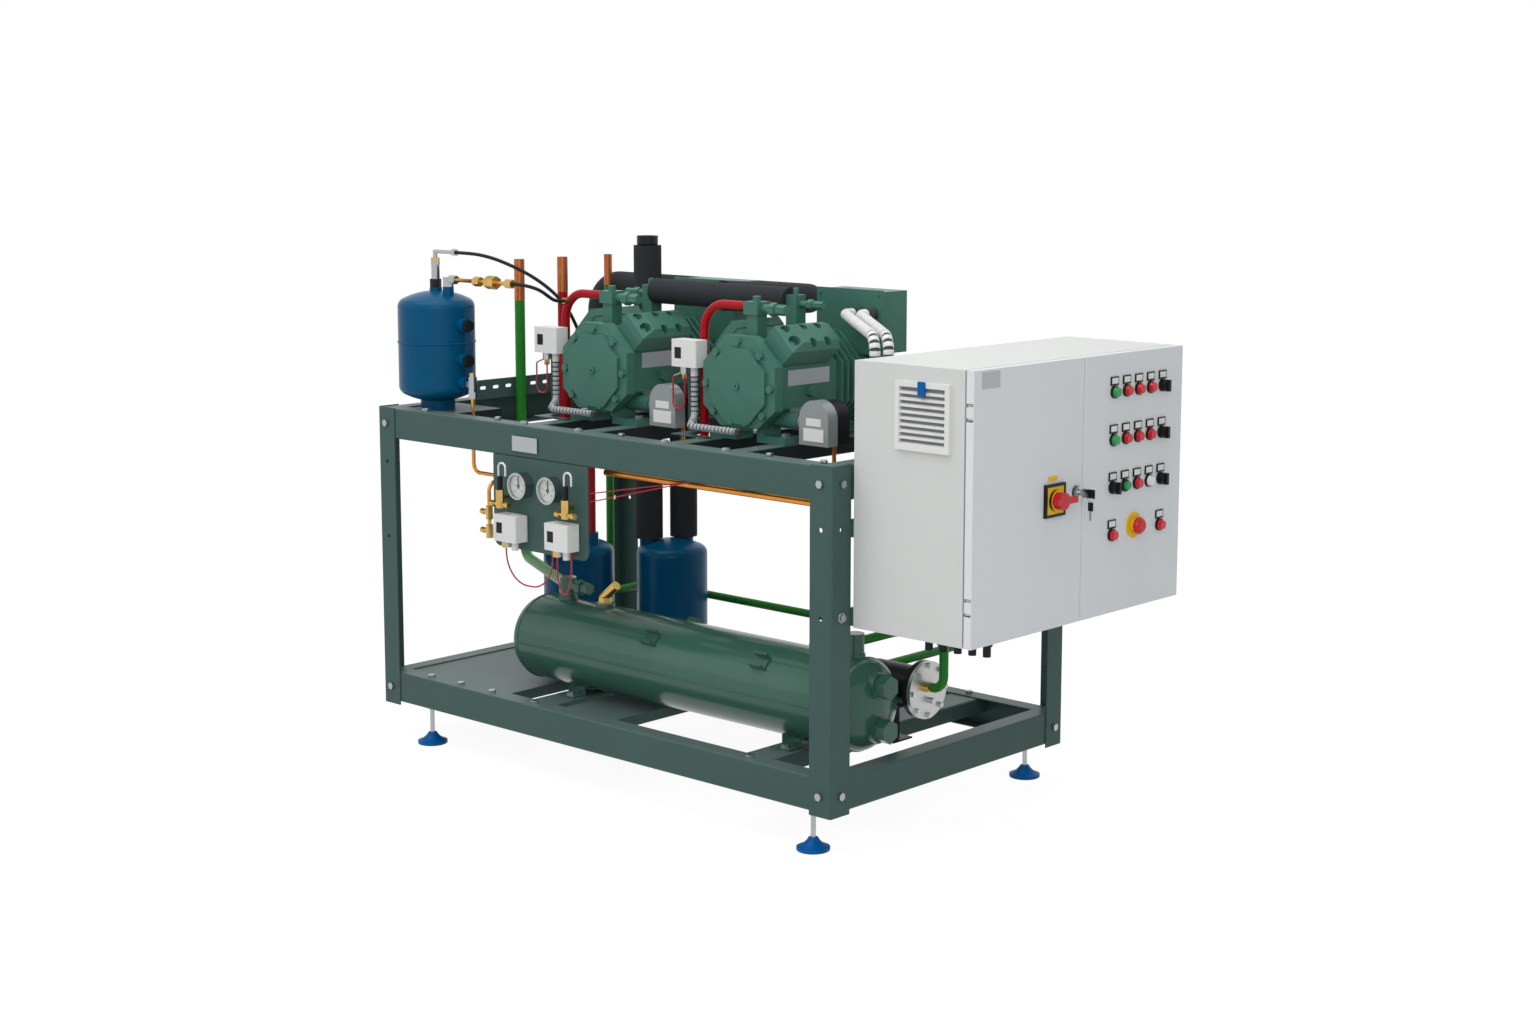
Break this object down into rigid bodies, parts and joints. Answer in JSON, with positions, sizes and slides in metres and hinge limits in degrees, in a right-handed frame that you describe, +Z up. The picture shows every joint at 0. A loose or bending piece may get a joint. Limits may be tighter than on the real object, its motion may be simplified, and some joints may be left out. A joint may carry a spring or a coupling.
{
  "type": "refrigeration compressor rack",
  "caption": "Twin semi-hermetic compressor rack on a bolted channel frame with liquid receiver, oil system, gauge panel and a hinged control cabinet.",
  "frame": {"origin": "centre of the front left levelling foot's pad, on the floor", "axes": "+Z up, +X along the long front towards the cabinet, +Y to the back"},
  "size_m": [1.9983, 0.928, 1.335],
  "materials": {
    "frame_paint": "satin grey-green paint",
    "zinc_steel": "bright zinc",
    "foot_plastic": "blue plastic pad on a zinc stem",
    "receiver_paint": "green paint over welded steel",
    "drier_paint": "black paint",
    "vessel_paint": "gloss blue paint",
    "green_pipe": "green paint over copper",
    "red_pipe": "red paint over copper",
    "pipe_insulation": "closed-cell foam",
    "brass_fittings": "bare brass and copper",
    "hose_rubber": "braided black hose",
    "conduit_plastic": "ribbed conduit",
    "compressor_paint": "green paint over castings",
    "bare_steel": "machined steel",
    "clear_window": "clear window on a black body",
    "gauge_steel": "bright rim and white dial",
    "black_plastic": "black moulding",
    "switch_plastic": "white moulding",
    "cabinet_paint": "light grey powder coat",
    "door_paint": "light grey powder coat",
    "switchgear_plastic": "dark moulded devices on a galvanised plate",
    "grille_plastic": "white moulding",
    "red_plastic": "red moulding",
    "green_plastic": "green moulding",
    "lamp_plastic": "coloured lenses in black bezels"
  },
  "bodies": {
    "rack": {"post_front_left": "frame_paint", "post_front_right": "frame_paint", "post_rear_left": "frame_paint", "post_rear_right": "frame_paint", "bottom_rails": "frame_paint", "top_rails": "frame_paint", "bottom_crossmembers": "frame_paint", "top_crossmembers": "frame_paint", "base_sheet": "frame_paint", "cabinet_brackets": "frame_paint", "frame_bolts": "zinc_steel", "levelling_feet": "foot_plastic", "receiver_shell": "receiver_paint", "receiver_saddles": "receiver_paint", "receiver_fittings": "receiver_paint", "drier_shell": "drier_paint", "drier_cover": "zinc_steel", "oil_reservoir": "vessel_paint", "oil_separator": "vessel_paint", "suction_accumulator": "vessel_paint", "liquid_pipe": "green_pipe", "discharge_pipe": "red_pipe", "suction_pipe": "pipe_insulation", "oil_lines": "brass_fittings", "gauge_lines": "brass_fittings", "hose_reservoir": "hose_rubber", "hose_oil": "hose_rubber", "conduits": "conduit_plastic", "crankcase_left": "compressor_paint", "crankcase_right": "compressor_paint", "end_covers": "compressor_paint", "cylinder_heads": "compressor_paint", "stators": "bare_steel", "service_valves": "compressor_paint", "terminal_boxes": "compressor_paint", "oil_regulators": "clear_window", "gauge_panel": "frame_paint", "gauge_cases": "gauge_steel", "pressure_switches": "switch_plastic", "cabinet_shell": "cabinet_paint", "hinge_pins": "zinc_steel", "switchgear": "switchgear_plastic", "vent_grille": "grille_plastic"},
    "left_door": {"door_left": "door_paint", "switch_plate": "black_plastic"},
    "right_door": {"door_right": "door_paint", "pilot_lights": "lamp_plastic", "legend_plates": "black_plastic"},
    "main_switch_handle": {"switch_handle": "red_plastic"},
    "cabinet_key": {"lock_key": "zinc_steel"},
    "selector_knob_1": {"selector_1": "black_plastic"},
    "selector_knob_2": {"selector_2": "black_plastic"},
    "selector_knob_3": {"selector_3": "black_plastic"},
    "selector_knob_4": {"selector_4": "black_plastic"},
    "start_plunger": {"start_button": "green_plastic"},
    "estop_plunger": {"estop_button": "red_plastic"},
    "left_needle": {"gauge_needle_left": "black_plastic"},
    "right_needle": {"gauge_needle_right": "black_plastic"},
    "left_rotor": {"rotor_left": "bare_steel"},
    "right_rotor": {"rotor_right": "bare_steel"}
  },
  "joints": [
    {"name": "left_door_hinge", "type": "hinge", "parent": "rack", "child": "left_door", "pos_m": [1.778, 0.035, 0.826], "axis": [0, 0, -1], "range_deg": [0, 110]},
    {"name": "right_door_hinge", "type": "hinge", "parent": "rack", "child": "right_door", "pos_m": [1.778, 0.819, 0.826], "axis": [0, 0, 1], "range_deg": [0, 110]},
    {"name": "main_switch_turn", "type": "hinge", "parent": "left_door", "child": "main_switch_handle", "pos_m": [1.8, 0.318, 0.817], "axis": [1, 0, 0], "range_deg": [0, 90]},
    {"name": "cabinet_key_turn", "type": "hinge", "parent": "left_door", "child": "cabinet_key", "pos_m": [1.8, 0.403, 0.825], "axis": [1, 0, 0], "range_deg": [0, 90]},
    {"name": "selector_turn_1", "type": "hinge", "parent": "right_door", "child": "selector_knob_1", "pos_m": [1.794, 0.741, 1.039], "axis": [1, 0, 0], "range_deg": [-45, 45]},
    {"name": "selector_turn_2", "type": "hinge", "parent": "right_door", "child": "selector_knob_2", "pos_m": [1.794, 0.741, 0.929], "axis": [1, 0, 0], "range_deg": [-45, 45]},
    {"name": "selector_turn_3", "type": "hinge", "parent": "right_door", "child": "selector_knob_3", "pos_m": [1.794, 0.545, 0.819], "axis": [1, 0, 0], "range_deg": [-45, 45]},
    {"name": "selector_turn_4", "type": "hinge", "parent": "right_door", "child": "selector_knob_4", "pos_m": [1.794, 0.741, 0.819], "axis": [1, 0, 0], "range_deg": [-45, 45]},
    {"name": "start_press", "type": "slide", "parent": "right_door", "child": "start_plunger", "axis": [-1, 0, 0], "range_m": [0, 0.003], "stiffness_N_per_m": 400},
    {"name": "estop_press", "type": "slide", "parent": "right_door", "child": "estop_plunger", "axis": [-1, 0, 0], "range_m": [0, 0.004]},
    {"name": "left_needle_turn", "type": "hinge", "parent": "rack", "child": "left_needle", "pos_m": [0.428, -0.056, 0.745], "axis": [0, 1, 0], "range_deg": [-130, 130]},
    {"name": "right_needle_turn", "type": "hinge", "parent": "rack", "child": "right_needle", "pos_m": [0.537, -0.056, 0.745], "axis": [0, 1, 0], "range_deg": [-130, 130]},
    {"name": "left_rotor_spin", "type": "hinge", "parent": "rack", "child": "left_rotor", "pos_m": [0.498, 0.352, 1.024], "axis": [0, 1, 0], "continuous": true},
    {"name": "right_rotor_spin", "type": "hinge", "parent": "rack", "child": "right_rotor", "pos_m": [0.998, 0.352, 1.024], "axis": [0, 1, 0], "continuous": true}
  ]
}
